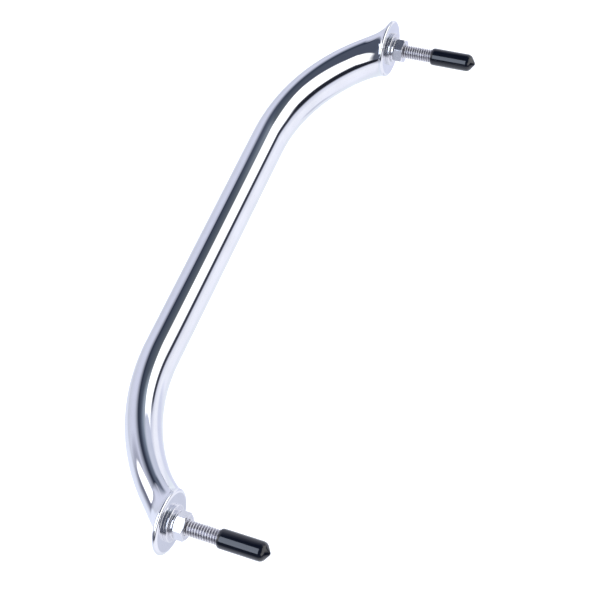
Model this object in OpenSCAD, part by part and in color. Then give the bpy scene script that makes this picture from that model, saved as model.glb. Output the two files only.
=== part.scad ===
// Grab rail for a boat: an oval polished tube with two bent legs, each welded to a
// round base flange that carries one threaded stud with washers, a nut and a cap.
// x runs along the rail, y points out of the mounting face along the studs, z is up.
// The origin lies on the mounting face, midway between the studs. Millimetres.

/* [Rail] */
// distance between the two studs, centre to centre
stud_spacing = 320; // [270:1:420]
// height of the grip centreline above the mounting face
grip_height = 45.5; // [43:0.5:56]
// slope of each leg against the mounting face, degrees
leg_angle = 47; // [43:1:50]
// centreline radius of the two bends
bend_radius = 100; // [80:1:104]
// outside width of the oval tube, across the rail
tube_width = 27.8; // [25:0.1:28.4]
// outside depth of the oval tube, from the mounting side to the hand side
tube_depth = 18.8; // [17:0.1:19.4]
// wall of the tube
tube_wall = 1.2; // [1:0.1:1.8]

/* [Base flanges] */
// outside diameter of each base flange
flange_d = 33.4; // [32.4:0.1:40]
// thickness of each base flange, its rim is fully rounded
flange_t = 2.5; // [2:0.1:3]
// how far the polished weld swells beyond the leg, a little above its foot
weld_swell = 0.9; // [0.6:0.1:1.2]
// how high the polished weld climbs up the leg
weld_rise = 5.4; // [4:0.1:5.6]

/* [Studs] */
// outside diameter of the stud thread
stud_d = 7.94; // [7.6:0.01:8.1]
// thread pitch
thread_pitch = 1.411; // [1.2:0.001:1.6]
// depth of the thread valley, measured on the radius
thread_depth = 0.76; // [0.6:0.01:0.9]
// free thread between the nut and the cap
free_thread = 17.1; // [16:0.1:30]

/* [Hardware] */
// outside diameter of the flat washer
washer_d = 19.05; // [16:0.05:22]
// thickness of the flat washer
washer_t = 1.9; // [1.2:0.1:2.5]
// outside diameter of the split lock washer
lock_d = 14.6; // [13:0.1:15.5]
// thickness of the split lock washer
lock_t = 1.4; // [1.2:0.1:2.4]
// width of the hex nut across its flats
nut_flats = 12.7; // [12:0.1:13.4]
// height of the hex nut
nut_h = 5.4; // [4.8:0.1:7]

/* [End caps] */
// outside diameter of the soft end cap
cap_d = 10.0; // [9.8:0.1:12]
// length of the end cap from its mouth to its tip
cap_len = 26.3; // [22:0.1:30]
// side wall of the end cap
cap_wall = 0.98; // [0.8:0.01:1.1]

/* [Hidden] */
$fn = 96;
sides = [-1, 1];
half_w = tube_width / 2;
half_d = tube_depth / 2;
// radii and centre offsets of the four arcs of the oval
end_arc_r = 0.52 * half_w;
end_off = half_w - end_arc_r;
flat_arc_r = (half_d * half_d + end_off * end_off - end_arc_r * end_arc_r)
  / (2 * (half_d - end_arc_r));
flat_off = flat_arc_r - half_d;
arc_gap = flat_arc_r - end_arc_r;
// how far the straight stretches reach into the bends, and how much thinner they are
lap = 0.5;
lap_trim = 0.05;
stud_x = stud_spacing / 2;
stud_r = stud_d / 2;
knee_x = stud_x - grip_height / tan(leg_angle);
tangent_len = bend_radius * tan(leg_angle / 2);
half_straight = knee_x - tangent_len;
bend_z = grip_height - bend_radius;
bend_end_x = half_straight + bend_radius * sin(leg_angle);
bend_end_z = bend_z + bend_radius * cos(leg_angle);
leg_len = bend_end_z / sin(leg_angle) + 12;
lock_z = washer_t;
nut_z = lock_z + lock_t;
free_z = nut_z + nut_h;
cap_z = free_z + free_thread;
cap_bore_r = cap_d / 2 - cap_wall;
cap_cone_h = 3.8;
cap_cone_a = 52;
cap_round = 3.2;
cap_tip = 1.3;
cap_lip = 0.9;
cap_bore_len = cap_len - cap_cone_h - 0.3;
stud_root = flange_t + 2.8;
stud_end = cap_z + cap_bore_len - 0.3;
// one open valley of the thread: a crest flat of an eighth of the pitch is left beside it
valley_w = 7 / 8 * thread_pitch;
valley_side = thread_depth * tan(30);
weld_r = stud_r + 3.1;
nut_bore_r = stud_r + 0.03;
nut_turn_right = 18;
nut_turn_left = 12;
gap_turn_right = 130;
gap_turn_left = 110;
steel = [0.86, 0.87, 0.90];
zinc = [0.78, 0.79, 0.82];
vinyl = [0.06, 0.06, 0.07];

// rail frame, z towards the hand side, turned into the part frame
module from_rail() {
  rotate([90, 0, 0])
    children();
}

// stud frame, z out of the mounting face, origin on the mounting face
module at_stud(side) {
  translate([side * stud_x, 0, 0])
    rotate([-90, 0, 0])
      children();
}

// points of an arc in the profile plane
function arc(cx, cy, r, a0, a1, n) =
  [for (i = [0:n]) [cx + r * cos(a0 + (a1 - a0) * i / n), cy + r * sin(a0 + (a1 - a0) * i / n)]];

// oval of four tangent arcs, grown inwards or outwards by inset; depth on x, width on y
module oval(inset) {
  side_r = flat_arc_r - inset;
  reach = 3 * half_w;
  kx = reach * flat_off / arc_gap;
  ky = reach * end_off / arc_gap;
  union() {
    for (s = sides)
      translate([0, s * end_off])
        circle(r = end_arc_r - inset);
    intersection() {
      translate([-flat_off, 0])
        circle(r = side_r);
      translate([flat_off, 0])
        circle(r = side_r);
      polygon([
        [0, end_off], [-kx, end_off + ky], [-kx, -end_off - ky],
        [0, -end_off], [kx, -end_off - ky], [kx, end_off + ky]
      ]);
    }
  }
}

// cross-section of the hollow tube; trim thins it from both sides
module tube_ring(trim) {
  difference() {
    oval(trim);
    oval(tube_wall - trim);
  }
}

// the straight grip reaches a little way into the wall of each bend
module straight_run() {
  translate([0, 0, grip_height])
    rotate([0, 90, 0])
      linear_extrude(height = 2 * (half_straight + lap), center = true)
        tube_ring(lap_trim);
}

module bend(s) {
  translate([s * half_straight, 0, bend_z])
    rotate([90, 0, 0])
      rotate([0, 0, s > 0 ? 90 - leg_angle : 90])
        rotate_extrude(angle = leg_angle)
          translate([bend_radius, 0])
            tube_ring(0);
}

// runs its child section down the slope of a leg, from above the bend's end to past the flange
module leg(s, above) {
  translate([s * bend_end_x, 0, bend_end_z])
    rotate([0, s * (90 + leg_angle), 0])
      translate([0, 0, -above])
        linear_extrude(height = leg_len)
          children();
}

// everything on the mounting side of the flange back face
module below_flange() {
  translate([-stud_x - 60, -60, -80 + flange_t])
    cube([stud_spacing + 120, 120, 80]);
}

module grip_tube() {
  color(steel)
    from_rail()
      union() {
        straight_run();
        for (s = sides) {
          bend(s);
          difference() {
            leg(s, lap)
              tube_ring(lap_trim);
            below_flange();
          }
        }
      }
}

module base_flange(side) {
  rim = flange_t / 2;
  color(steel)
    at_stud(side)
      rotate_extrude()
        union() {
          translate([stud_r, -flange_t])
            square([flange_d / 2 - rim - stud_r, flange_t]);
          translate([flange_d / 2 - rim, -rim])
            circle(r = rim);
        }
}

// thin level slice of the leg at height z, grown by grow and moved outboard by shift
module leg_slice(side, z, grow, shift) {
  translate([side * (stud_x - z / tan(leg_angle) + shift), 0, z])
    linear_extrude(height = 0.02)
      scale([half_d / sin(leg_angle) + grow, half_w + grow])
        circle(r = 1, $fn = 48);
}

// flared collar: a round foot that fills the flat of the flange, drawn in to the leg
module tube_weld(side) {
  waist_z = flange_t + weld_rise / 4;
  color(steel)
    from_rail()
      difference() {
        union() {
          hull() {
            translate([side * stud_x, 0, flange_t])
              cylinder(h = 0.02, r = flange_d / 2 - flange_t / 2 - 0.05, $fn = 48);
            leg_slice(side, waist_z, weld_swell, weld_swell - 0.1);
          }
          hull() {
            leg_slice(side, waist_z, weld_swell, weld_swell - 0.1);
            leg_slice(side, flange_t + weld_rise, 0.3, 0);
          }
        }
        leg(side, weld_rise / 2)
          oval(-lap_trim / 2);
      }
}

// round bar with one open thread valley at each end of the free stretch
module stud(side) {
  core_r = stud_r - thread_depth;
  color(zinc)
    at_stud(side)
      rotate_extrude()
        polygon([
          [stud_r, free_z],
          [stud_r, cap_z],
          [core_r, cap_z + valley_side],
          [core_r, cap_z + valley_w - valley_side],
          [stud_r, cap_z + valley_w],
          [stud_r, stud_end - 0.8],
          [stud_r - 0.8, stud_end],
          [0, stud_end],
          [0, -stud_root],
          [stud_r, -stud_root],
          [stud_r, free_z - valley_w],
          [core_r, free_z - valley_w + valley_side],
          [core_r, free_z - valley_side]
        ]);
}

module stud_weld(side) {
  color(steel)
    at_stud(side)
      rotate_extrude()
        polygon([
          [stud_r, -flange_t],
          [weld_r, -flange_t],
          [weld_r, -flange_t - 0.4],
          [stud_r + 0.5, -flange_t - 2.6],
          [stud_r, -flange_t - 2.6]
        ]);
}

module flat_washer(side) {
  r_out = washer_d / 2;
  r_in = stud_r + 0.38;
  e = 0.25;
  color(zinc)
    at_stud(side)
      rotate_extrude()
        polygon([
          [r_in, 0],
          [r_out, 0],
          [r_out, washer_t - e],
          [r_out - e, washer_t],
          [r_in, washer_t]
        ]);
}

module lock_washer(side) {
  r_out = lock_d / 2;
  r_in = stud_r + 0.12;
  color(zinc)
    at_stud(side)
      translate([0, 0, lock_z])
        difference() {
          cylinder(h = lock_t, r = r_out);
          translate([0, 0, -1])
            cylinder(h = lock_t + 2, r = r_in);
          rotate([0, 0, side > 0 ? gap_turn_right : gap_turn_left])
            translate([(r_in + r_out) / 2, 0, lock_t / 2])
              rotate([25, 0, 0])
                cube([r_out, 0.9, 3 * lock_t], center = true);
        }
}

module hex_nut(side) {
  corner_r = nut_flats / 2 / cos(30);
  face_r = nut_flats / 2 - 0.15;
  // the bevel cone is drawn a little past the corners
  cone_r = corner_r + 1;
  bevel = (cone_r - face_r) * tan(30);
  mouth = 0.5;
  color(zinc)
    at_stud(side)
      translate([0, 0, nut_z])
        difference() {
          intersection() {
            rotate([0, 0, side > 0 ? nut_turn_right : nut_turn_left])
              cylinder(h = nut_h, r = corner_r, $fn = 6);
            rotate_extrude()
              polygon([
                [0, 0],
                [face_r, 0],
                [cone_r, bevel],
                [cone_r, nut_h - bevel],
                [face_r, nut_h],
                [0, nut_h]
              ]);
          }
          rotate_extrude()
            polygon([
              [0, -1],
              [nut_bore_r + mouth + 1, -1],
              [nut_bore_r, mouth],
              [nut_bore_r, nut_h - mouth],
              [nut_bore_r + mouth + 1, nut_h + 1],
              [0, nut_h + 1]
            ]);
        }
}

module end_cap(side) {
  r = cap_d / 2;
  slope = 90 - cap_cone_a;
  // centres of the tip round and of the shoulder round
  tip_y = cap_len - cap_tip;
  run = r - cap_round;
  shoulder_y = tip_y - run * tan(slope) - (cap_round - cap_tip) / cos(slope);
  color(vinyl)
    at_stud(side)
      translate([0, 0, cap_z])
        rotate_extrude()
          polygon(concat(
            [[cap_bore_r, 0], [r - cap_lip, 0]],
            arc(r - cap_lip, cap_lip, cap_lip, -67.5, 0, 3),
            arc(r - cap_round, shoulder_y, cap_round, 0, 90 - slope, 6),
            arc(0, tip_y, cap_tip, 90 - slope, 90, 4),
            [[0, cap_bore_len], [cap_bore_r, cap_bore_len]]
          ));
}

grip_tube();
base_flange(-1);  // base_flange_left
base_flange(1);  // base_flange_right
tube_weld(-1);  // tube_weld_left
tube_weld(1);  // tube_weld_right
stud(-1);  // stud_left
stud(1);  // stud_right
stud_weld(-1);  // stud_weld_left
stud_weld(1);  // stud_weld_right
flat_washer(-1);  // flat_washer_left
flat_washer(1);  // flat_washer_right
lock_washer(-1);  // lock_washer_left
lock_washer(1);  // lock_washer_right
hex_nut(-1);  // hex_nut_left
hex_nut(1);  // hex_nut_right
end_cap(-1);  // end_cap_left
end_cap(1);  // end_cap_right
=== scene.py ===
"""Looks of the grab rail: polished oval rail, welded flanges, threaded studs, hardware and vinyl caps."""

import math

import bmesh
import bpy
from mathutils import Matrix, Vector


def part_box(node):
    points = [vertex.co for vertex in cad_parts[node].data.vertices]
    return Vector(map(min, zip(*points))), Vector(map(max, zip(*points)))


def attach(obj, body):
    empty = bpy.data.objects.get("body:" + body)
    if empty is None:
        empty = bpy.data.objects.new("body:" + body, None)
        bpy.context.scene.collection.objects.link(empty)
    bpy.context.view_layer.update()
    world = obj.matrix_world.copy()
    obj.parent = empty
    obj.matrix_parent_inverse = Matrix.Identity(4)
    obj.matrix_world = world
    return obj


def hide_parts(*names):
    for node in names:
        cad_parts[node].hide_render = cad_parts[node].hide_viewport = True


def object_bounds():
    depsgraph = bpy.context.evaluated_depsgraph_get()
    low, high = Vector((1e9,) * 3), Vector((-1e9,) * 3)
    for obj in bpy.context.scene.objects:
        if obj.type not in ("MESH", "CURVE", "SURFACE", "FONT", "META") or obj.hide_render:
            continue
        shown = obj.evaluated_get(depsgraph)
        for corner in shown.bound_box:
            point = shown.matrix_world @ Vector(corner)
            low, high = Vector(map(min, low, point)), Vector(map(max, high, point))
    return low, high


MM = 0.001
QUARTER = math.pi / 2

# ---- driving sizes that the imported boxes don't give ----
TUBE_DEPTH = 18.8 * MM
TUBE_WALL = 1.2 * MM
END_ARC_SHARE = 0.52  # radius of the oval's end arcs over half its width
LEG_ANGLE = math.radians(47)
BEND_RADIUS = 100 * MM
RIM_ROUND_FRONT = 2.2 * MM  # how far in from its edge the flange's front face starts to round
FLANGE_MARGIN = 0.005 * MM  # keeps the flanges just inside the CAD model's box
THREAD_PITCH = 1.411 * MM
THREAD_DEPTH = 0.76 * MM
NUT_FLATS = 12.7 * MM

# ---- the polished welds: "inner" is the underside of the leg, "outer" is its hand side ----
WELD_CLIMB_INNER = 15 * MM  # how far up the leg the weld runs
WELD_CLIMB_OUTER = 7 * MM
WELD_CLIMB_BIAS = 1.5  # above 1, the long climb reaches further round the leg
RIM_TURN_INNER = math.radians(12)  # the foot on the rim's round: 0 on its side, a quarter turn on its back
RIM_TURN_OUTER = math.radians(80)
WELD_PULL_TOP = 0.42  # how long the flare keeps to the tube's line: 1 is as far as the rim's tangent
WELD_PULL_FOOT = 0.6  # how long it keeps to the rim's tangent: 1 is as far as the tube's line
WELD_LEAST_REACH = 0.3 * MM
WELD_ROOT_DEPTH = 0.4 * TUBE_WALL  # how far inside the tube's skin the weld closes
SEAM_LIFT = 0.008 * MM  # the weld's edges lie this much proud of the tube and the flange

# ---- vinyl caps ----
CAP_LIP_DEPTH = 1.7 * MM
CAP_SHOULDER = 3.5 * MM
CAP_TIP = 1.3 * MM
CAP_TOP_WALL = 4.1 * MM
CAP_CONE_HALF_ANGLE = math.radians(55.5)

SIDES = (("left", -1), ("right", 1))

# ---- mesh detail ----
MERGE_WITHIN = 1e-7
ROUND_STEPS = 160
OVAL_STEPS = 240
BEND_STEPS = 64
STRAIGHT_STEPS = 16
WELD_STEPS = 28

# ---- how far the nuts are turned, and where the lock washers are split, which is a guess ----
FLAT_AT = {"left": math.radians(18), "right": math.radians(12)}
GAP_AT = {"left": math.radians(-110), "right": math.radians(-130)}

# ---- camera, at the photograph's viewing angle ----
EYE = Vector((343.15, 228.32, 564.11)) * MM
EYE_RIGHT = Vector((-0.36366, 0.92020, -0.14485))
EYE_FORWARD = Vector((-0.46856, -0.31509, -0.82533))
LENS = 77.5
SENSOR = 36

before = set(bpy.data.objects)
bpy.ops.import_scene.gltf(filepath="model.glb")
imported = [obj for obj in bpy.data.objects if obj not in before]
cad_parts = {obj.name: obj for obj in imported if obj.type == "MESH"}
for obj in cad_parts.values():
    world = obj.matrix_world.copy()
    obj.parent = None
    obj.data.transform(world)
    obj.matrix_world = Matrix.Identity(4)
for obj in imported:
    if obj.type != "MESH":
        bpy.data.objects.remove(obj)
cad_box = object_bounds()


def centre_x(node):
    low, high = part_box(node)
    return (low.x + high.x) / 2


def half_height(node):
    low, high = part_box(node)
    return (high.z - low.z) / 2


# ---- sizes worked out from the frame ----
STUD_X = centre_x("stud_right")
STUD_R = half_height("stud_right")
STUD_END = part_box("stud_right")[1].y
HALF_WIDTH = half_height("grip_tube")
HALF_DEPTH = TUBE_DEPTH / 2
FLANGE_R = half_height("base_flange_right") - FLANGE_MARGIN
FLANGE_T = -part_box("base_flange_right")[0].y
GRIP_HEIGHT = -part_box("grip_tube")[0].y - HALF_DEPTH
END_ARC = END_ARC_SHARE * HALF_WIDTH
END_OFF = HALF_WIDTH - END_ARC
FLAT_ARC = (HALF_DEPTH**2 + END_OFF**2 - END_ARC**2) / (2 * (HALF_DEPTH - END_ARC))
FLAT_OFF = FLAT_ARC - HALF_DEPTH
SWITCH_ANGLE = math.atan2(END_OFF, FLAT_OFF)
HALF_STRAIGHT = STUD_X - GRIP_HEIGHT / math.tan(LEG_ANGLE) - BEND_RADIUS * math.tan(LEG_ANGLE / 2)


# ---------------------------------------------------------------- mesh helpers
def make_mesh(name, verts, faces, material, sharp_degrees):
    """A smooth piece of one material, with edges only where it turns by more than the given angle."""
    mesh = bpy.data.meshes.new(name)
    mesh.from_pydata([tuple(v) for v in verts], [], faces)
    bm = bmesh.new()
    bm.from_mesh(mesh)
    bmesh.ops.remove_doubles(bm, verts=bm.verts, dist=MERGE_WITHIN)
    bmesh.ops.recalc_face_normals(bm, faces=bm.faces)
    bm.to_mesh(mesh)
    bm.free()
    mesh.polygons.foreach_set("use_smooth", [True] * len(mesh.polygons))
    mesh.set_sharp_from_angle(angle=math.radians(sharp_degrees))
    mesh.materials.append(material)
    piece = bpy.data.objects.new(name, mesh)
    bpy.context.scene.collection.objects.link(piece)
    return piece


def settle(piece, body, slot, *nodes):
    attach(piece, body)
    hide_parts(*nodes)


def grid_faces(rows, columns, rows_closed):
    """Quads over a grid whose columns close on themselves."""
    faces = []
    for i in range(rows if rows_closed else rows - 1):
        for j in range(columns):
            a, b = i * columns, ((i + 1) % rows) * columns
            k = (j + 1) % columns
            faces.append((a + j, a + k, b + k, b + j))
    return faces


def ring_mesh(name, rings, material, sharp_degrees, rows_closed=True):
    """A skin over closed rings of points, each joined to the next."""
    verts = [p for ring in rings for p in ring]
    faces = grid_faces(len(rings), len(rings[0]), rows_closed)
    return make_mesh(name, verts, faces, material, sharp_degrees)


def by_stud(side, radius, angle, y):
    """The point at this radius and angle round a stud's axis, and this far out of the mounting face."""
    return (side * STUD_X + radius * math.cos(angle), y, radius * math.sin(angle))


def circle(side, radius, y, steps):
    return [by_stud(side, radius, math.tau * j / steps, y) for j in range(steps)]


def lathe(name, profile, side, material, sharp_degrees, steps=ROUND_STEPS):
    """Turns a closed outline of (radius, height out of the mounting face) round a stud's axis."""
    rings = [circle(side, r, y, steps) for r, y in profile]
    return ring_mesh(name, rings, material, sharp_degrees)


def arc(middle, reach, start, sweep, steps):
    """Points on a stretch of a circle or ellipse, with both of its ends."""
    out = []
    for k in range(steps + 1):
        a = start + sweep * k / steps
        out.append((middle[0] + reach[0] * math.cos(a), middle[1] + reach[1] * math.sin(a)))
    return out


def rounded(corners, steps=5):
    """A closed outline with each (radius, height, rounding) corner turned into an arc."""
    out = []
    for i, (r, y, rounding) in enumerate(corners):
        here = Vector((r, y))
        back = (Vector(corners[i - 1][:2]) - here).normalized()
        ahead = (Vector(corners[(i + 1) % len(corners)][:2]) - here).normalized()
        half = back.angle(ahead) / 2
        middle = here + (back + ahead).normalized() * rounding / math.sin(half)
        first = here + back * rounding / math.tan(half) - middle
        last = here + ahead * rounding / math.tan(half) - middle
        sweep = math.atan2(first.x * last.y - first.y * last.x, first.dot(last))
        start = math.atan2(first.y, first.x)
        out.extend(arc(middle, (rounding, rounding), start, sweep, steps))
    return out


# ---------------------------------------------------------------- the rail
def oval_point(angle, inset):
    """Depth and width of the oval where its normal is at this angle from the depth axis."""
    c, s = math.cos(angle), math.sin(angle)
    if math.atan2(abs(s), abs(c)) < SWITCH_ANGLE:
        depth = (FLAT_ARC - inset) * abs(c) - FLAT_OFF
        width = (FLAT_ARC - inset) * abs(s)
    else:
        depth = (END_ARC - inset) * abs(c)
        width = END_OFF + (END_ARC - inset) * abs(s)
    return math.copysign(depth, c), math.copysign(width, s)


def leg_frame(side):
    """Centre, outward normal and downhill direction at the top of a leg."""
    s, c = math.sin(LEG_ANGLE), math.cos(LEG_ANGLE)
    x = side * (HALF_STRAIGHT + BEND_RADIUS * s)
    y = -(GRIP_HEIGHT - BEND_RADIUS + BEND_RADIUS * c)
    return Vector((x, y, 0)), Vector((side * s, -c, 0)), Vector((side * c, s, 0))


def skin_point(side, angle, inset, climb):
    """A point of the tube's skin, this far up its own line from the flange, and the way down there."""
    centre, normal, downhill = leg_frame(side)
    depth, width = oval_point(angle, inset)
    top = centre + depth * normal + Vector((0, 0, width))
    run = (-FLANGE_T - top.y) / downhill.y - climb
    if run >= 0:
        return top + run * downhill, downhill
    # further up than the leg's top, the line follows the bend
    reach = BEND_RADIUS + depth
    t = LEG_ANGLE + run / reach
    x = side * (HALF_STRAIGHT + reach * math.sin(t))
    y = -(GRIP_HEIGHT - BEND_RADIUS + reach * math.cos(t))
    return Vector((x, y, width)), Vector((side * math.cos(t), math.sin(t), 0))


def oval_ring(angles, inset, centre, normal):
    ring = []
    for angle in angles:
        depth, width = oval_point(angle, inset)
        ring.append(centre + depth * normal + Vector((0, 0, width)))
    return ring


def half_rings(side, angles, inset):
    """Rings of skin points from an end of the straight grip, round the bend and down to the flange."""
    rings = []
    for k in range(BEND_STEPS + 1):
        t = LEG_ANGLE * k / BEND_STEPS
        x = HALF_STRAIGHT + BEND_RADIUS * math.sin(t)
        height = GRIP_HEIGHT - BEND_RADIUS + BEND_RADIUS * math.cos(t)
        normal = Vector((side * math.sin(t), -math.cos(t), 0))
        rings.append(oval_ring(angles, inset, Vector((side * x, -height, 0)), normal))
    leg_top = rings[-1]
    leg_end = [skin_point(side, a, inset, 0)[0] for a in angles]
    for share in (0.25, 0.5, 0.75):
        rings.append([p.lerp(q, share) for p, q in zip(leg_top, leg_end)])
    rings.append(leg_end)
    return rings


def rail_rings(angles, inset):
    """Rings of skin points from the left flange to the right one."""
    left = half_rings(-1, angles, inset)
    right = half_rings(1, angles, inset)
    straight = []
    for k in range(1, STRAIGHT_STEPS):
        straight.append([p.lerp(q, k / STRAIGHT_STEPS) for p, q in zip(left[0], right[0])])
    return left[::-1] + straight + right


def build_grip_tube(material):
    angles = [math.tau * j / OVAL_STEPS for j in range(OVAL_STEPS)]
    outside = rail_rings(angles, 0)
    inside = rail_rings(angles, TUBE_WALL)
    return ring_mesh("grip_tube_skin", outside + inside[::-1], material, sharp_degrees=40)


def build_weld(side, name, material):
    """A ground and polished flare that leaves the tube and the flange's rim along their surfaces."""
    rim = FLANGE_T / 2
    axis = Vector((side * STUD_X, 0, 0))
    up = Vector((0, -1, 0))
    _, _, downhill = leg_frame(side)
    rings = [[] for _ in range(WELD_STEPS + 3)]
    for j in range(OVAL_STEPS):
        angle = math.tau * j / OVAL_STEPS
        handwards = 0.5 + 0.5 * math.cos(angle)
        climb_share = handwards**WELD_CLIMB_BIAS
        climb = WELD_CLIMB_INNER + (WELD_CLIMB_OUTER - WELD_CLIMB_INNER) * climb_share
        # the foot sits on the rim's round: on its back towards the hand, on its side underneath
        turn = RIM_TURN_INNER + (RIM_TURN_OUTER - RIM_TURN_INNER) * handwards
        low, _ = skin_point(side, angle, 0, 0)
        out = Vector((low.x - axis.x, 0, low.z)).normalized()
        foot = axis + out * (FLANGE_R - rim + (rim + SEAM_LIFT) * math.cos(turn))
        foot += up * (rim + (rim + SEAM_LIFT) * math.sin(turn))
        along_rim = up * math.cos(turn) - out * math.sin(turn)
        # where the leg's line meets the rim's tangent: from the foot along the rim, and up the leg
        gap_out, gap_up = (foot - low).dot(out), (foot - low).dot(up)
        leg_out, leg_up = -downhill.dot(out), -downhill.dot(up)
        spread = leg_out * math.cos(turn) + leg_up * math.sin(turn)
        to_leg = (gap_out * leg_up - gap_up * leg_out) / spread
        up_leg = (gap_out * math.cos(turn) + gap_up * math.sin(turn)) / spread
        top, down = skin_point(side, angle, -SEAM_LIFT, climb)
        pull_top = top + down * WELD_PULL_TOP * (climb - up_leg)
        pull_foot = foot + along_rim * WELD_PULL_FOOT * max(to_leg, WELD_LEAST_REACH)
        for k in range(WELD_STEPS + 1):
            t = 0.5 - 0.5 * math.cos(math.pi * k / WELD_STEPS)
            u = 1 - t
            near_top = top * u**3 + pull_top * 3 * u * u * t
            rings[k].append(near_top + pull_foot * 3 * u * t * t + foot * t**3)
        rings[WELD_STEPS + 1].append(skin_point(side, angle, WELD_ROOT_DEPTH, 0)[0])
        rings[WELD_STEPS + 2].append(skin_point(side, angle, WELD_ROOT_DEPTH, climb)[0])
    return ring_mesh(name, rings, material, sharp_degrees=50)


def build_flange(side, name, material):
    """A turned plate whose front face rounds over gently and whose back edge is a tight round."""
    rim = FLANGE_T / 2
    steps = 14
    front = arc(
        (FLANGE_R - RIM_ROUND_FRONT, -rim), (RIM_ROUND_FRONT, rim), QUARTER, -QUARTER, steps
    )
    back = arc((FLANGE_R - rim, -rim), (rim, rim), 0, -QUARTER, steps)
    profile = [(STUD_R, 0), *front, *back[1:], (STUD_R, -FLANGE_T)]
    return lathe(name, profile, side, material, sharp_degrees=30, steps=200)


# ---------------------------------------------------------------- studs and hardware
def thread_radius(phase):
    """Radius of the thread at this share of a turn along its own helix."""
    root_half, crest_from = 0.125, 0.435
    share = (abs(phase - 0.5) - root_half) / (crest_from - root_half)
    share = min(max(share, 0.0), 1.0)
    eased = share * share * (3 - 2 * share)
    return STUD_R - THREAD_DEPTH * (1 - 0.5 * (share + eased))


def build_stud(side, name, node, material):
    """A stud with a helical thread, which runs out at the flange and in the bevel at the free end."""
    low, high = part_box(node)
    around, per_turn = 72, 16
    bevel, root_bevel = 0.8 * MM, 0.3 * MM
    run_out = 1.2 * THREAD_PITCH
    last_gap = 0.02 * MM  # the last ring of the thread stays this clear of the end face
    step = THREAD_PITCH / per_turn
    rings = [
        circle(side, 0.0, low.y, around),
        circle(side, STUD_R - root_bevel, low.y, around),
        circle(side, STUD_R, low.y + root_bevel, around),
        circle(side, STUD_R, 0.0, around),
    ]
    for i in range(1, int((high.y - last_gap) / step) + 1):
        y = i * step
        depth_share = min(y / run_out, 1.0)
        limit = STUD_R - max(0.0, y - (high.y - bevel))
        ring = []
        for j in range(around):
            turn = j / around
            phase = (y / THREAD_PITCH + turn) % 1.0
            radius = STUD_R - (STUD_R - thread_radius(phase)) * depth_share
            ring.append(by_stud(side, min(radius, limit), math.tau * turn, y))
        rings.append(ring)
    rings.append(circle(side, STUD_R - bevel, high.y, around))
    rings.append(circle(side, 0.0, high.y, around))
    return ring_mesh(name, rings, material, sharp_degrees=60, rows_closed=False)


def washer_sizes(node, clearance):
    """Inner and outer radius, and the heights of the two faces."""
    low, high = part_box(node)
    return STUD_R + clearance, (high.z - low.z) / 2, low.y, high.y


def build_flat_washer(side, name, node, material):
    """A pressed washer, rounder on its outer face."""
    r_in, r_out, y_low, y_high = washer_sizes(node, clearance=0.38 * MM)
    profile = rounded(
        [
            (r_in, y_low, 0.08 * MM),
            (r_out, y_low, 0.18 * MM),
            (r_out, y_high, 0.45 * MM),
            (r_in, y_high, 0.25 * MM),
        ]
    )
    return lathe(name, profile, side, material, sharp_degrees=25)


def build_lock_washer(side, name, node, material, gap_at):
    """A ring split by a slanted gap."""
    r_in, r_out, y_low, y_high = washer_sizes(node, clearance=0.12 * MM)
    gap, slant = 0.9 * MM, math.tan(math.radians(25))
    inner_round, outer_round = 0.12 * MM, 0.22 * MM
    profile = rounded(
        [
            (r_in, y_low, inner_round),
            (r_out, y_low, outer_round),
            (r_out, y_high, outer_round),
            (r_in, y_high, inner_round),
        ]
    )
    middle_r = (r_in + r_out) / 2
    middle_y = (y_low + y_high) / 2
    opening = gap / 2 / middle_r
    verts = []
    for i in range(ROUND_STEPS + 1):
        for r, y in profile:
            lean = slant * (y - middle_y) / middle_r
            a = gap_at + lean + opening + (math.tau - 2 * opening) * i / ROUND_STEPS
            verts.append(by_stud(side, r, a, y))
    count = len(profile)
    faces = grid_faces(ROUND_STEPS + 1, count, rows_closed=False)
    faces.append(tuple(range(count)))
    faces.append(tuple(range(len(verts) - 1, len(verts) - 1 - count, -1)))
    return make_mesh(name, verts, faces, material, sharp_degrees=25)


def hex_radius(offset, flats, rounding):
    """Radius of a hexagon with rounded corners, at an angle from the middle of a flat."""
    half = flats / 2
    inner = (half - rounding) / math.cos(math.radians(30))
    if math.tan(abs(offset)) * half <= inner / 2:
        return half / math.cos(offset)
    miss = math.radians(30) - abs(offset)
    return inner * math.cos(miss) + math.sqrt(rounding**2 - (inner * math.sin(miss)) ** 2)


def build_hex_nut(side, name, node, material, flat_at):
    """A hexagon with rounded corners, bevelled on both faces and at both mouths of its bore."""
    low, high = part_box(node)
    face_r = NUT_FLATS / 2 - 0.15 * MM
    bore_r = STUD_R + 0.03 * MM
    corner_round = 0.3 * MM
    mouth = 0.5 * MM
    bevel = math.tan(math.radians(30))
    # degrees from the middle of a flat, closer together towards its corners
    half_flat = (6, 12, 18, 23, 26.5, 28.0, 28.8, 29.4)
    offsets = [-o for o in reversed(half_flat)] + [0, *half_flat, 30]
    rings = [[] for _ in range(8)]
    for degrees in [60 * k + o for k in range(6) for o in offsets]:
        a = flat_at + math.radians(degrees)
        offset = math.radians((degrees + 30) % 60 - 30)
        r = hex_radius(offset, NUT_FLATS, corner_round)
        drop = (r - face_r) * bevel
        outline = [
            (bore_r, low.y + mouth),
            (bore_r + mouth, low.y),
            (face_r, low.y),
            (r, low.y + drop),
            (r, high.y - drop),
            (face_r, high.y),
            (bore_r + mouth, high.y),
            (bore_r, high.y - mouth),
        ]
        for ring, (radius, y) in zip(rings, outline):
            ring.append(by_stud(side, radius, a, y))
    piece = ring_mesh(name, rings, material, sharp_degrees=22)
    soften = piece.modifiers.new("softened edges", "BEVEL")
    soften.width = 0.12 * MM
    soften.segments = 3
    soften.limit_method = "ANGLE"
    soften.angle_limit = math.radians(24)
    soften.harden_normals = True
    return piece


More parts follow.
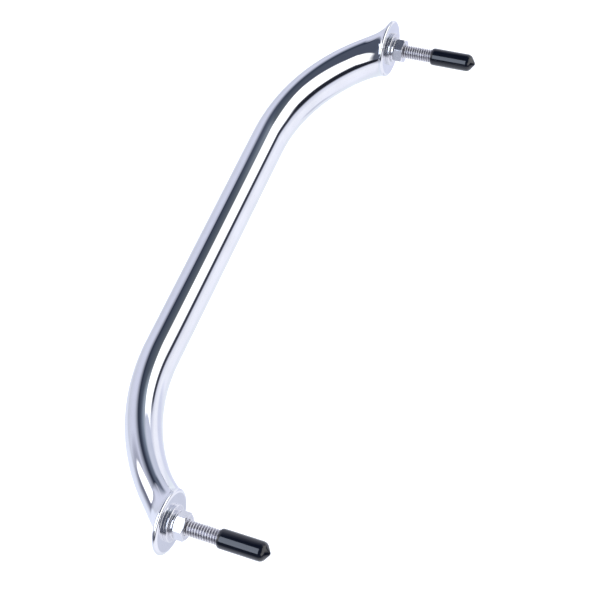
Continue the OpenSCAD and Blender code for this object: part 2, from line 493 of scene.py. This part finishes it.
def build_end_cap(side, name, node, material):
    """A dip-moulded cap: a rolled lip, a straight body, a round shoulder and a blunt cone."""
    low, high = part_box(node)
    r_out = (high.z - low.z) / 2
    bore = STUD_R + 0.05 * MM
    mouth = 0.35 * MM
    lip = r_out - bore - 0.4 * MM
    bore_bevel = 0.3 * MM
    slope = QUARTER - CAP_CONE_HALF_ANGLE
    tip_y = high.y - CAP_TIP
    cone_drop = (r_out - CAP_SHOULDER) * math.tan(slope)
    shoulder_y = tip_y - cone_drop - (CAP_SHOULDER - CAP_TIP) / math.cos(slope)
    body_y = low.y + CAP_LIP_DEPTH
    bore_top = high.y - CAP_TOP_WALL
    body_steps = 6
    profile = arc((bore + mouth, low.y + mouth), (mouth, mouth), math.pi, QUARTER, 4)
    profile += arc((r_out - lip, body_y), (lip, CAP_LIP_DEPTH), -QUARTER, QUARTER, 12)
    for k in range(1, body_steps):
        profile.append((r_out, body_y + (shoulder_y - body_y) * k / body_steps))
    shoulder = (r_out - CAP_SHOULDER, shoulder_y)
    profile += arc(shoulder, (CAP_SHOULDER, CAP_SHOULDER), 0, QUARTER - slope, 12)
    profile += arc((0, tip_y), (CAP_TIP, CAP_TIP), QUARTER - slope, slope, 10)
    profile += [(0.0, bore_top), (bore - bore_bevel, bore_top), (bore, bore_top - bore_bevel)]
    return lathe(name, profile, side, material, sharp_degrees=50, steps=128)


# ---------------------------------------------------------------- materials
def srgb(r, g, b):
    def channel(v):
        return v / 12.92 if v <= 0.04045 else ((v + 0.055) / 1.055) ** 2.4

    return (channel(r), channel(g), channel(b), 1.0)


class Nodes:
    """Short hand for one node tree."""

    def __init__(self, tree):
        self.tree = tree
        tree.nodes.clear()

    def add(self, kind, **settings):
        node = self.tree.nodes.new(kind)
        for key, value in settings.items():
            setattr(node, key, value)
        return node

    def link(self, out, into):
        self.tree.links.new(out, into)

    def feed(self, value, socket):
        """Gives a socket a plain value, or links it to another node's output."""
        if isinstance(value, (int, float, tuple)):
            socket.default_value = value
        else:
            self.link(value, socket)

    def math(self, operation, *values):
        node = self.add("ShaderNodeMath", operation=operation)
        for value, socket in zip(values, node.inputs):
            self.feed(value, socket)
        return node.outputs[0]

    def plus(self, a, b):
        return self.math("ADD", a, b)

    def minus(self, a, b):
        return self.math("SUBTRACT", a, b)

    def times(self, a, b):
        return self.math("MULTIPLY", a, b)

    def fit(self, value, span, result=(0, 1), smooth=False):
        """Maps a span of values onto the result's span, and holds its ends beyond."""
        node = self.add("ShaderNodeMapRange", clamp=True)
        node.interpolation_type = "SMOOTHSTEP" if smooth else "LINEAR"
        self.link(value, node.inputs["Value"])
        for key, number in zip(("From Min", "From Max", "To Min", "To Max"), (*span, *result)):
            node.inputs[key].default_value = number
        return node.outputs["Result"]

    def rise(self, value, low, high):
        """Nothing up to the lower limit, one from the higher limit on."""
        return self.fit(value, (low, high), smooth=True)

    def fall(self, value, low, high):
        """One up to the lower limit, nothing from the higher limit on."""
        return self.fit(value, (low, high), (1, 0), smooth=True)

    def between(self, value, outer_low, inner_low, inner_high, outer_high):
        """One between the two inner limits, nothing beyond the two outer ones."""
        return self.times(
            self.rise(value, outer_low, inner_low), self.fall(value, inner_high, outer_high)
        )

    def ramp(self, share, bands):
        """Colour by the share of a turn, with straight down at its ends; bands are (degrees, colour)."""
        ramp = self.add("ShaderNodeValToRGB")
        stops = ramp.color_ramp.elements
        while len(stops) > 1:
            stops.remove(stops[-1])
        for i, (degrees, colour) in enumerate(bands):
            at = (degrees + 180) / 360
            stop = stops[0] if i == 0 else stops.new(at)
            stop.position = at
            stop.color = colour
        self.link(share, ramp.inputs[0])
        return ramp.outputs[0]

    def levels(self, share, *stops):
        """Grey level by the share of a turn; stops are (degrees, level)."""
        return self.ramp(share, [(degrees, (level, level, level, 1.0)) for degrees, level in stops])

    def strip(self, share, outer_low, inner_low, inner_high, outer_high):
        """One between the two inner degrees, nothing beyond the two outer ones."""
        stops = ((outer_low, 0), (inner_low, 1), (inner_high, 1), (outer_high, 0))
        return self.levels(share, *stops)

    def noise(self, where, scale, detail, roughness, stretch=(1, 1, 1)):
        squash = self.add("ShaderNodeMapping")
        squash.inputs["Scale"].default_value = stretch
        self.link(where, squash.inputs["Vector"])
        node = self.add("ShaderNodeTexNoise")
        node.inputs["Scale"].default_value = scale
        node.inputs["Detail"].default_value = detail
        node.inputs["Roughness"].default_value = roughness
        self.link(squash.outputs[0], node.inputs["Vector"])
        return node.outputs["Fac"]

    def mix_colour(self, share, a, b):
        node = self.add("ShaderNodeMix", data_type="RGBA")
        # inputs 6 and 7 and output 2 are the node's colour sockets
        for value, socket in zip((share, a, b), (node.inputs["Factor"], node.inputs[6], node.inputs[7])):
            self.feed(value, socket)
        return node.outputs[2]

    def bump(self, height, distance, normal=None):
        node = self.add("ShaderNodeBump")
        node.inputs["Distance"].default_value = distance
        node.inputs["Strength"].default_value = 1.0
        self.link(height, node.inputs["Height"])
        if normal is not None:
            self.link(normal, node.inputs["Normal"])
        return node.outputs[0]

    def surface(self):
        shader = self.add("ShaderNodeBsdfPrincipled")
        out = self.add("ShaderNodeOutputMaterial")
        self.link(shader.outputs[0], out.inputs["Surface"])
        return shader

    def split(self, vector):
        parts = self.add("ShaderNodeSeparateXYZ")
        self.link(vector, parts.inputs[0])
        return parts.outputs


def new_material(name):
    material = bpy.data.materials.new(name)
    material.use_nodes = True
    nodes = Nodes(material.node_tree)
    place = nodes.add("ShaderNodeTexCoord").outputs["Object"]
    return material, nodes, place


def valley_share(nodes, place, haze):
    """How deep a point lies in a stud's thread: 0 on the crests and the end face, 1 in the valleys."""
    x, y, z = nodes.split(place)
    off = nodes.minus(nodes.math("ABSOLUTE", x), STUD_X)
    radius = nodes.math("SQRT", nodes.plus(nodes.times(off, off), nodes.times(z, z)))
    radius = nodes.plus(radius, nodes.times(haze, 0.05 * MM))
    valley, crest = STUD_R - 0.9 * THREAD_DEPTH, STUD_R - 0.25 * THREAD_DEPTH
    share = nodes.fit(radius, (valley, crest), (1, 0))
    short_of_end = nodes.fit(y, (STUD_END - 0.3 * MM, STUD_END - 0.05 * MM), (1, 0))
    return nodes.times(share, short_of_end)


def steel(name, tint, rough, lines, line_depth, stretch=(1, 1, 1), painted_valley_shade=None):
    """Stainless steel: haze and fingermarks in the gloss, polishing lines, and painted shade in a thread's
    valleys.
    """
    material, nodes, place = new_material(name)
    shader = nodes.surface()
    haze = nodes.noise(place, scale=45, detail=4, roughness=0.6)
    marks = nodes.noise(place, scale=320, detail=3, roughness=0.55)
    gloss = nodes.plus(nodes.times(haze, 0.7), nodes.times(marks, 0.3))
    shader.inputs["Metallic"].default_value = 1.0
    nodes.link(nodes.fit(gloss, (0.35, 0.68), rough), shader.inputs["Roughness"])
    darker = tuple(0.93 * c for c in tint[:3]) + (1.0,)
    base = nodes.mix_colour(nodes.fit(haze, (0.35, 0.7)), tint, darker)
    if painted_valley_shade is not None:
        # painted shade: the thread's valleys are darkened where the thread shades itself
        base = nodes.mix_colour(valley_share(nodes, place, haze), base, painted_valley_shade)
    nodes.link(base, shader.inputs["Base Color"])
    grain = nodes.noise(place, scale=lines, detail=2, roughness=0.6, stretch=stretch)
    nodes.link(nodes.bump(grain, line_depth), shader.inputs["Normal"])
    return material


def vinyl(name):
    """Dip-moulded black vinyl: glossy, with a faint pebble and a few dull rubs."""
    material, nodes, place = new_material(name)
    shader = nodes.surface()
    deep, rubbed = srgb(0.01, 0.025, 0.075), srgb(0.025, 0.045, 0.095)
    rub = nodes.noise(place, scale=120, detail=4, roughness=0.6)
    nodes.link(nodes.fit(rub, (0.4, 0.7), (0.09, 0.16)), shader.inputs["Roughness"])
    base = nodes.mix_colour(nodes.fit(rub, (0.45, 0.75)), deep, rubbed)
    nodes.link(base, shader.inputs["Base Color"])
    shader.inputs["Specular IOR Level"].default_value = 0.2
    shader.inputs["Coat Weight"].default_value = 1.0
    shader.inputs["Coat IOR"].default_value = 1.46
    nodes.link(nodes.fit(rub, (0.4, 0.7), (0.05, 0.10)), shader.inputs["Coat Roughness"])
    pebble = nodes.noise(place, scale=900, detail=3, roughness=0.5)
    swell = nodes.noise(place, scale=160, detail=2, roughness=0.5)
    both_bumps = nodes.bump(pebble, 0.004 * MM, nodes.bump(swell, 0.03 * MM))
    nodes.link(both_bumps, shader.inputs["Normal"])
    nodes.link(both_bumps, shader.inputs["Coat Normal"])
    return material


# polished along the rail: its lines are stretched along X
POLISHED = steel(
    "polished_steel",
    tint=srgb(0.93, 0.935, 0.95),
    rough=(0.03, 0.075),
    lines=260,
    line_depth=0.0015 * MM,
    stretch=(0.05, 1, 1),
)
FACED = steel(
    "faced_steel",
    tint=srgb(0.93, 0.935, 0.95),
    rough=(0.035, 0.08),
    lines=500,
    line_depth=0.0004 * MM,
)
BRIGHT = steel(
    "plain_steel",
    tint=srgb(0.92, 0.92, 0.935),
    rough=(0.15, 0.27),
    lines=900,
    line_depth=0.0015 * MM,
)
THREADED = steel(
    "thread_steel",
    tint=srgb(0.92, 0.92, 0.93),
    rough=(0.26, 0.38),
    lines=1400,
    line_depth=0.002 * MM,
    stretch=(1, 0.3, 1),
    # the colour of the painted shade in the thread's valleys
    painted_valley_shade=srgb(0.60, 0.58, 0.61),
)
VINYL = vinyl("black_vinyl")

# ---------------------------------------------------------------- build the object
settle(build_grip_tube(POLISHED), "rail", "polished_steel", "grip_tube")
for word, side in SIDES:
    piece = build_flange(side, f"flange_{word}_turned", FACED)
    settle(piece, "rail", "polished_steel", f"base_flange_{word}")
    piece = build_weld(side, f"weld_{word}_flare", POLISHED)
    settle(piece, "rail", "polished_steel", f"tube_weld_{word}")
    node = f"stud_{word}"
    piece = build_stud(side, f"{node}_threaded", node, THREADED)
    settle(piece, "rail", "plain_steel", node)
    node = f"flat_washer_{word}"
    piece = build_flat_washer(side, f"{node}_pressed", node, BRIGHT)
    settle(piece, f"washer_{word}", "plain_steel", node)
    node = f"lock_washer_{word}"
    piece = build_lock_washer(side, f"{node}_split", node, BRIGHT, GAP_AT[word])
    settle(piece, f"lock_{word}", "plain_steel", node)
    node = f"hex_nut_{word}"
    piece = build_hex_nut(side, f"{node}_bevelled", node, BRIGHT, FLAT_AT[word])
    settle(piece, f"nut_{word}", "plain_steel", node)
    node = f"end_cap_{word}"
    piece = build_end_cap(side, f"{node}_dipped", node, VINYL)
    settle(piece, f"cap_{word}", "black_vinyl", node)
    # the hidden ring behind the flange keeps its CAD shape
    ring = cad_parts[f"stud_weld_{word}"]
    ring.data.materials.clear()
    ring.data.materials.append(BRIGHT)


# ---------------------------------------------------------------- studio
def build_floor():
    """A plain pale floor, which the steel doesn't mirror: the world has a table of its own for that."""
    half, depth_below = 6.0, 0.10
    z = cad_box[0].z - depth_below
    corners = [(-half, -half, z), (half, -half, z), (half, half, z), (-half, half, z)]
    material, nodes, place = new_material("studio_floor")
    shader = nodes.surface()
    grain = nodes.noise(place, scale=14, detail=4, roughness=0.6)
    paper = nodes.mix_colour(grain, srgb(0.965, 0.965, 0.965), srgb(0.98, 0.98, 0.98))
    nodes.link(paper, shader.inputs["Base Color"])
    shader.inputs["Roughness"].default_value = 0.9
    shader.inputs["Emission Color"].default_value = (1, 1, 1, 1)
    shader.inputs["Emission Strength"].default_value = 0.25
    floor = make_mesh("studio_floor", corners, [(0, 1, 2, 3)], material, sharp_degrees=30)
    floor.visible_glossy = False


# What the steel mirrors is laid out by direction. x, y and z are the parts of a unit direction.
# "around" is the share of a turn round the rail's length: in degrees, 0 is straight up, 90 points
# along the studs, -90 points to the hand side, and 180 is straight down.
SOFTBOX = (1.5, 1.5, 1.5, 1)


def add_walls(nodes, x, around):
    """Pale walls and table: a brighter patch low on the left, and a paler wall from the middle on."""
    walls = nodes.ramp(
        around,
        [
            (-180, srgb(0.90, 0.925, 0.955)),
            (-165, srgb(0.93, 0.95, 0.98)),
            (-140, srgb(0.87, 0.885, 0.935)),
            (-105, srgb(0.80, 0.815, 0.87)),
            (-60, srgb(0.84, 0.85, 0.925)),
            (40, srgb(0.78, 0.80, 0.865)),
            (96, srgb(0.76, 0.78, 0.855)),
            (110, srgb(0.85, 0.86, 0.92)),
            (125, srgb(0.96, 0.965, 1.0)),
            (150, srgb(0.95, 0.955, 1.0)),
            (165, srgb(0.90, 0.915, 0.96)),
            (180, srgb(0.90, 0.925, 0.955)),
        ],
    )
    patch = nodes.times(
        nodes.between(x, -0.66, -0.62, -0.575, -0.545), nodes.strip(around, -150, -138, -126, -114)
    )
    colour = nodes.mix_colour(patch, walls, srgb(0.95, 0.96, 0.99))
    pale = nodes.times(nodes.rise(x, -0.3, -0.1), nodes.strip(around, -172, -160, -118, -106))
    return nodes.mix_colour(pale, colour, srgb(0.89, 0.91, 0.975))


def add_dark_room(nodes, colour, x, y, around):
    """The dark room over the rail: paler to the far left, its edge crisper halfway there."""
    room = nodes.ramp(
        around,
        [
            (-16, srgb(0.18, 0.205, 0.27)),
            (-4, srgb(0.26, 0.29, 0.35)),
            (16, srgb(0.31, 0.34, 0.39)),
            (44, srgb(0.38, 0.41, 0.44)),
        ],
    )
    room = nodes.mix_colour(nodes.fit(x, (-0.40, -0.28)), room, srgb(0.30, 0.325, 0.385))
    far_room = nodes.ramp(
        around,
        [
            (-30, srgb(0.46, 0.49, 0.56)),
            (-6, srgb(0.34, 0.37, 0.44)),
            (10, srgb(0.46, 0.50, 0.57)),
            (22, srgb(0.60, 0.64, 0.69)),
        ],
    )
    room = nodes.mix_colour(nodes.fit(x, (-0.62, -0.51), (1, 0)), room, far_room)
    soft_edge = nodes.levels(around, (-50, 0), (-40, 0.1), (-19, 1), (94, 1), (97, 0))
    crisp_edge = nodes.levels(around, (-44, 0), (-27, 0.25), (-18, 1), (94, 1), (97, 0))
    halfway = nodes.between(x, -0.56, -0.52, -0.46, -0.42)
    room_share = nodes.mix_colour(halfway, soft_edge, crisp_edge)
    far_end = nodes.minus(x, nodes.times(y, 0.25))
    room_share = nodes.times(room_share, nodes.rise(far_end, -0.91, -0.74))
    return nodes.mix_colour(room_share, colour, room)


def add_long_softbox(nodes, colour, x, z, around, lowered):
    """The long softbox above the studs; its upper edge dips halfway along, and towards the right."""
    bow = nodes.times(nodes.between(x, -0.72, -0.475, -0.475, -0.22), 10 / 360)
    edge = nodes.minus(around, bow)
    edge = nodes.minus(edge, nodes.fit(x, (-0.3, 0.28), (0, 16 / 360)))
    bright = nodes.levels(edge, (33, 0), (39, 1))
    bright = nodes.times(bright, nodes.levels(lowered, (91, 1), (95, 0)))
    box_end = nodes.minus(x, nodes.times(z, 0.2))
    bright = nodes.times(bright, nodes.rise(box_end, -0.86, -0.835))
    return nodes.mix_colour(bright, colour, SOFTBOX)


def add_far_end(nodes, colour, x, z):
    """The dark end of the room, past the right-hand end of the rail."""
    far = nodes.times(nodes.rise(x, 0.66, 0.80), nodes.rise(z, -0.42, 0.0))
    return nodes.mix_colour(far, colour, srgb(0.36, 0.38, 0.44))


def add_shadow_lines(nodes, colour, x, around, lowered):
    """The dark line between the long softbox and the table, wider and darker towards the right."""
    line = nodes.times(nodes.strip(lowered, 91, 95, 102, 107), nodes.rise(x, -0.84, -0.72))
    shifted = nodes.minus(around, nodes.fit(x, (0.0, 0.45), (0, 4 / 360)))
    wide = nodes.times(nodes.strip(shifted, 90, 93, 105, 110), nodes.rise(x, -0.42, -0.2))
    colour = nodes.mix_colour(line, colour, srgb(0.20, 0.21, 0.26))
    return nodes.mix_colour(wide, colour, srgb(0.13, 0.14, 0.18))


def add_small_softbox(nodes, colour, x, z, around):
    """A small softbox on the hand side of the right-hand leg, with dusk round it and shade below."""
    slant = nodes.plus(x, nodes.times(z, 0.36))
    reach = nodes.fall(x, 0.5, 0.65)
    dusk = nodes.times(reach, nodes.rise(slant, 0.08, 0.24))
    dusk = nodes.times(dusk, nodes.strip(around, -100, -85, -48, -40))
    shade = nodes.times(reach, nodes.rise(x, 0.08, 0.30))
    shade = nodes.times(shade, nodes.strip(around, -128, -108, -92, -86))
    small_box = nodes.times(reach, nodes.rise(slant, 0.235, 0.275))
    small_box = nodes.times(small_box, nodes.strip(around, -88, -84, -42, -36))
    colour = nodes.mix_colour(dusk, colour, srgb(0.64, 0.65, 0.72))
    colour = nodes.mix_colour(shade, colour, srgb(0.45, 0.46, 0.53))
    return nodes.mix_colour(small_box, colour, SOFTBOX)


def add_table_shade(nodes, colour, x, y, z):
    """The table far to the left, and the patch of it right under the rail, a little in its shade."""
    far_table = nodes.times(nodes.fit(x, (-0.62, -0.54), (1, 0)), nodes.fit(z, (-0.6, -0.5), (1, 0)))
    below = nodes.times(nodes.fall(z, -0.86, -0.74), nodes.between(y, 0.22, 0.32, 0.41, 0.52))
    below = nodes.times(below, nodes.between(x, -0.42, -0.34, -0.25, -0.15))
    colour = nodes.mix_colour(far_table, colour, srgb(0.845, 0.86, 0.935))
    return nodes.mix_colour(below, colour, srgb(0.80, 0.815, 0.88))


def build_world():
    """Round the rail: pale walls and table, softboxes, and the dark room between them."""
    world = bpy.data.worlds.new("studio")
    bpy.context.scene.world = world
    world.use_nodes = True
    nodes = Nodes(world.node_tree)
    x, y, z = nodes.split(nodes.add("ShaderNodeTexCoord").outputs["Generated"])
    around = nodes.plus(nodes.math("DIVIDE", nodes.math("ARCTAN2", y, z), math.tau), 0.5)
    # on the left the long softbox's lower edge and the dark line beside it lie a little lower
    lowered = nodes.minus(around, nodes.fit(x, (-0.42, -0.2), (5 / 360, 0)))
    colour = add_walls(nodes, x, around)
    colour = add_dark_room(nodes, colour, x, y, around)
    colour = add_long_softbox(nodes, colour, x, z, around, lowered)
    colour = add_far_end(nodes, colour, x, z)
    colour = add_shadow_lines(nodes, colour, x, around, lowered)
    colour = add_small_softbox(nodes, colour, x, z, around)
    colour = add_table_shade(nodes, colour, x, y, z)
    studio = nodes.add("ShaderNodeBackground")
    nodes.link(colour, studio.inputs["Color"])
    studio.inputs["Strength"].default_value = 1.12
    # the camera itself sees a plain white backdrop
    plain = nodes.add("ShaderNodeBackground")
    plain.inputs["Color"].default_value = srgb(0.975, 0.975, 0.98)
    seen = nodes.add("ShaderNodeLightPath").outputs["Is Camera Ray"]
    mix = nodes.add("ShaderNodeMixShader")
    nodes.link(seen, mix.inputs[0])
    nodes.link(studio.outputs[0], mix.inputs[1])
    nodes.link(plain.outputs[0], mix.inputs[2])
    out = nodes.add("ShaderNodeOutputWorld")
    nodes.link(mix.outputs[0], out.inputs["Surface"])


def add_lamp(name, place, size, power, turn, mirrored, colour=(1.0, 1.0, 1.0)):
    light = bpy.data.lights.new(name, "AREA")
    light.shape = "RECTANGLE"
    light.size, light.size_y = size
    light.energy = power
    light.color = colour
    lamp = bpy.data.objects.new(name, light)
    lamp.location = place
    lamp.rotation_euler = turn
    lamp.visible_glossy = mirrored
    bpy.context.scene.collection.objects.link(lamp)


def build_lights():
    """Two wide soft lights that the steel doesn't mirror, and a softbox beside the camera that it does."""
    for name, place, size, power in (
        ("overhead", Vector((-0.2, -0.5, 1.3)), (1.4, 1.4), 9),
        ("studs_side", Vector((0.3, 1.2, 0.9)), (1.2, 1.2), 7),
    ):
        turn = (-place).to_track_quat("-Z", "Y").to_euler()
        add_lamp(name, place, size, power, turn, mirrored=False)
    # it leans over the rail, with its short side in line with the studs
    place = Vector((0.479, -0.215, 0.575))
    forward = Vector((-place.x, 0, -place.z)).normalized()
    along = Vector((-forward.z, 0, forward.x))
    turn = Matrix((along, along.cross(forward), -forward)).transposed().to_euler()
    colour = (0.74, 0.83, 1.0)
    add_lamp("beside_camera", place, (0.75, 0.34), 2.9, turn, mirrored=True, colour=colour)


def build_camera():
    """Looks down on the rail from the right-hand end and the stud side, tipped a little to its left."""
    camera = bpy.data.cameras.new("camera")
    camera.sensor_width = SENSOR
    camera.lens = LENS
    camera.clip_start = 0.01
    eye = bpy.data.objects.new("camera", camera)
    right = EYE_RIGHT.normalized()
    forward = EYE_FORWARD.normalized()
    up = right.cross(forward).normalized()
    turn = Matrix((right, up, -forward)).transposed().to_4x4()
    eye.matrix_world = Matrix.Translation(EYE) @ turn
    bpy.context.scene.collection.objects.link(eye)
    bpy.context.scene.camera = eye


build_floor()
build_world()
build_lights()
build_camera()
bpy.context.scene.view_settings.view_transform = "Standard"
